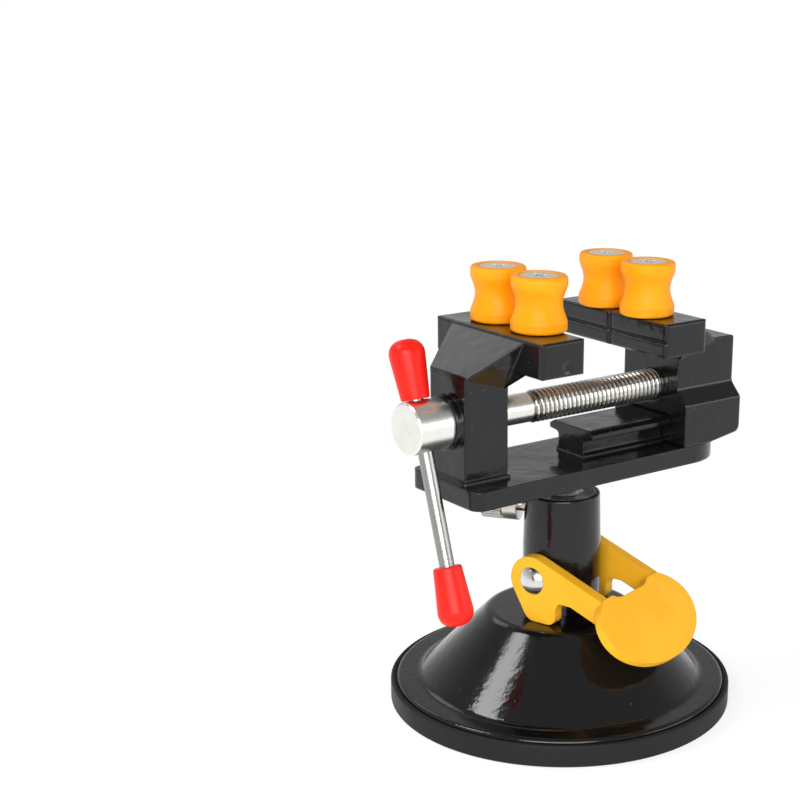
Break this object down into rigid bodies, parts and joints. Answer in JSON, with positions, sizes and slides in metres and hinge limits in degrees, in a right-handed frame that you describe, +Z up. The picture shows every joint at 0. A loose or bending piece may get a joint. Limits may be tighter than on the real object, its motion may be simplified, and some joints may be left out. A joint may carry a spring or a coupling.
{
  "type": "suction_base_vise",
  "caption": "Suction base vise: two cast jaws with guide rollers and a cross-bar lead screw on a clamped ball joint, over a column, a cam lever and a rubber suction pad.",
  "frame": {"origin": "on the ground under the column's axis, at the centre of the suction pad's sealing ring", "axes": "+Z up along the column; +X along the lead screw from its head to the moving jaw; Y across the jaws; the lever's handle points towards -Y"},
  "size_m": [0.1369, 0.126, 0.1619],
  "materials": {
    "rubber_black": "matte moulded rubber",
    "paint_black": "thick gloss black enamel on castings and the pressed cover",
    "plastic_amber": "moulded nylon, satin",
    "plastic_red": "moulded caps, satin gloss",
    "nickel": "nickel plated and turned",
    "steel": "zinc plated steel",
    "nylon_white": "unfilled nylon"
  },
  "bodies": {
    "base": {"suction_pad": "rubber_black", "suction_cover": "paint_black", "column": "paint_black", "column_washer": "steel", "column_nut": "steel", "socket_ring": "paint_black"},
    "pull": {"pull_stud": "steel", "pad_insert": "steel", "lever_rivet": "nickel"},
    "lever": {"cam_lever": "plastic_amber"},
    "clamp": {"lock_screw": "nickel"},
    "swivel": {"friction_cup": "nylon_white"},
    "head": {"ball_stud": "steel", "vise_body": "paint_black", "roller_screw_fixed_left": "steel", "roller_screw_fixed_right": "steel"},
    "screw": {"lead_screw": "nickel", "thrust_washer": "steel", "retaining_ring": "steel"},
    "handle": {"tommy_bar": "steel", "tommy_cap_top": "plastic_red", "tommy_cap_low": "plastic_red"},
    "jaw": {"moving_jaw": "paint_black", "roller_screw_moving_left": "steel", "roller_screw_moving_right": "steel"},
    "spool_fixed_left": {"roller_fixed_left": "plastic_amber"},
    "spool_fixed_right": {"roller_fixed_right": "plastic_amber"},
    "spool_moving_left": {"roller_moving_left": "plastic_amber"},
    "spool_moving_right": {"roller_moving_right": "plastic_amber"}
  },
  "joints": [
    {"name": "stud_slide", "type": "slide", "parent": "base", "child": "pull", "axis": [0, 0, 1], "range_m": [-0.00201, 0], "deforming": ["suction_pad"]},
    {"name": "lever_turn", "type": "hinge", "parent": "pull", "child": "lever", "pos_m": [0, 0, 0.0501], "axis": [0.9583, 0.2857, 0], "range_deg": [-45, 0]},
    {"name": "lock_screw_turn", "type": "hinge", "parent": "base", "child": "clamp", "pos_m": [0, 0, 0.0726], "axis": [-0.5736, 0.8192, 0], "range_deg": [0, 720]},
    {"name": "head_swivel", "type": "hinge", "parent": "base", "child": "swivel", "pos_m": [0, 0, 0.0726], "axis": [0, 0, 1], "continuous": true},
    {"name": "head_tilt", "type": "hinge", "parent": "swivel", "child": "head", "pos_m": [0, 0, 0.0726], "axis": [0, 1, 0], "range_deg": [-8, 12]},
    {"name": "screw_turn", "type": "hinge", "parent": "head", "child": "screw", "pos_m": [0, 0, 0.1131], "axis": [1, 0, 0], "range_deg": [-1444, 5260]},
    {"name": "jaw_slide", "type": "slide", "parent": "head", "child": "jaw", "axis": [1, 0, 0], "range_m": [-0.0292, 0.008]},
    {"name": "handle_slide", "type": "slide", "parent": "screw", "child": "handle", "axis": [0, 0.309, 0.9511], "range_m": [0, 0.038]},
    {"name": "roller_fixed_left_spin", "type": "hinge", "parent": "head", "child": "spool_fixed_left", "pos_m": [-0.0209, 0.0114, 0.1428], "axis": [0, 0, 1], "continuous": true},
    {"name": "roller_moving_left_spin", "type": "hinge", "parent": "jaw", "child": "spool_moving_left", "pos_m": [0.0281, 0.0114, 0.1428], "axis": [0, 0, 1], "continuous": true},
    {"name": "roller_fixed_right_spin", "type": "hinge", "parent": "head", "child": "spool_fixed_right", "pos_m": [-0.0209, -0.0114, 0.1428], "axis": [0, 0, 1], "continuous": true},
    {"name": "roller_moving_right_spin", "type": "hinge", "parent": "jaw", "child": "spool_moving_right", "pos_m": [0.0281, -0.0114, 0.1428], "axis": [0, 0, 1], "continuous": true}
  ],
  "couplings": [
    {"joint": "stud_slide", "follows": "lever_turn", "m_per_rad": 0.0025465},
    {"joint": "screw_turn", "follows": "jaw_slide", "rad_per_m": -3141.6}
  ]
}
